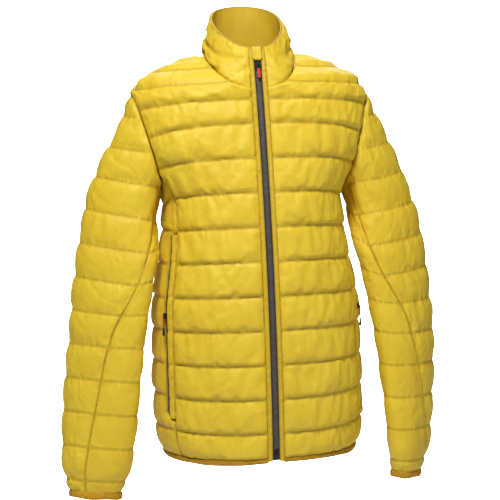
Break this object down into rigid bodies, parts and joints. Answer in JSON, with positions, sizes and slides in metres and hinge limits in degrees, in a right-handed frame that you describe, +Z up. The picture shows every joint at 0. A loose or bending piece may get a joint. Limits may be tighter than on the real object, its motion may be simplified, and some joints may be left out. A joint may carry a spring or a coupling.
{
  "type": "quilted light jacket",
  "caption": "Quilted light jacket with a stand-up collar, full front zip, zipped side pockets, two-piece sleeves and elastic bound hem and cuffs.",
  "frame": {"origin": "middle of the neck opening at the height of the shoulder's neck point", "axes": "+Z up, -Y out of the jacket's front, +X to the wearer's left"},
  "size_m": [0.615, 0.2632, 0.7693],
  "materials": {
    "shell_fabric": "thin glossy yellow nylon, quilted over down",
    "lining_fabric": "smooth yellow lining",
    "elastic_binding": "gathered elastic tape, deeper yellow",
    "zip_tape": "grey brown woven tape",
    "zip_teeth": "grey coil",
    "dark_hardware": "satin black",
    "red_pull": "soft red rubber and cord"
  },
  "bodies": {
    "jacket": {"front_right": "shell_fabric", "front_left": "shell_fabric", "side_right": "shell_fabric", "side_left": "shell_fabric", "back": "shell_fabric", "lining_front_right": "lining_fabric", "lining_front_left": "lining_fabric", "lining_back": "lining_fabric", "hem_binding": "elastic_binding", "collar": "shell_fabric", "collar_lining": "lining_fabric", "zip_guard": "shell_fabric", "hanger_loop": "elastic_binding", "placket_right": "shell_fabric", "placket_left": "shell_fabric", "zip_tape_right": "zip_tape", "zip_tape_left": "zip_tape", "zip_chain_right": "zip_teeth", "zip_chain_left": "zip_teeth", "zip_stop_right": "dark_hardware", "zip_stop_left": "dark_hardware", "zip_box": "dark_hardware", "zip_pin": "dark_hardware", "draft_flap": "lining_fabric", "pocket_welt_right": "shell_fabric", "pocket_welt_left": "shell_fabric", "pocket_zip_right": "dark_hardware", "pocket_zip_left": "dark_hardware", "pocket_bag_right": "lining_fabric", "pocket_bag_left": "lining_fabric"},
    "sleeve_right": {"sleeve_upper_right": "shell_fabric", "sleeve_under_right": "shell_fabric", "sleeve_lining_right": "lining_fabric", "cuff_binding_right": "elastic_binding"},
    "sleeve_left": {"sleeve_upper_left": "shell_fabric", "sleeve_under_left": "shell_fabric", "sleeve_lining_left": "lining_fabric", "cuff_binding_left": "elastic_binding"},
    "front_slider": {"slider_front": "dark_hardware", "slider_back": "dark_hardware", "slider_bridge": "dark_hardware"},
    "front_pull": {"pull_link": "dark_hardware", "pull_tab": "red_pull"},
    "pocket_slide_right": {"pocket_slider_right": "dark_hardware"},
    "pocket_slide_left": {"pocket_slider_left": "dark_hardware"},
    "pocket_tag_right": {"pocket_cord_right": "red_pull", "pocket_tip_right": "dark_hardware"},
    "pocket_tag_left": {"pocket_cord_left": "red_pull", "pocket_tip_left": "dark_hardware"}
  },
  "joints": [
    {"name": "front_zip", "type": "hinge", "parent": "jacket", "child": "front_slider", "pos_m": [0, 1.8036, -0.4968], "axis": [1, 0, 0], "range_deg": [0, 17.3]},
    {"name": "front_pull_swing", "type": "hinge", "parent": "front_slider", "child": "front_pull", "pos_m": [0, -0.08907, -0.0267], "axis": [-1, 0, 0], "range_deg": [0, 120]},
    {"name": "sleeve_right_swing", "type": "hinge", "parent": "jacket", "child": "sleeve_right", "pos_m": [-0.188, 0, -0.069], "axis": [0, 1, 0], "range_deg": [0, 50]},
    {"name": "sleeve_left_swing", "type": "hinge", "parent": "jacket", "child": "sleeve_left", "pos_m": [0.188, 0, -0.069], "axis": [0, -1, 0], "range_deg": [0, 50]},
    {"name": "pocket_zip_right", "type": "slide", "parent": "jacket", "child": "pocket_slide_right", "axis": [0, 0, -1], "range_m": [0, 0.15]},
    {"name": "pocket_zip_left", "type": "slide", "parent": "jacket", "child": "pocket_slide_left", "axis": [0, 0, -1], "range_m": [0, 0.15]},
    {"name": "pocket_tag_right_swing", "type": "hinge", "parent": "pocket_slide_right", "child": "pocket_tag_right", "pos_m": [-0.15775, -0.06299, -0.41], "axis": [-0.4068, 0.9135, 0], "range_deg": [0, 60]},
    {"name": "pocket_tag_left_swing", "type": "hinge", "parent": "pocket_slide_left", "child": "pocket_tag_left", "pos_m": [0.15775, -0.06299, -0.41], "axis": [-0.4068, -0.9135, 0], "range_deg": [0, 60]}
  ]
}
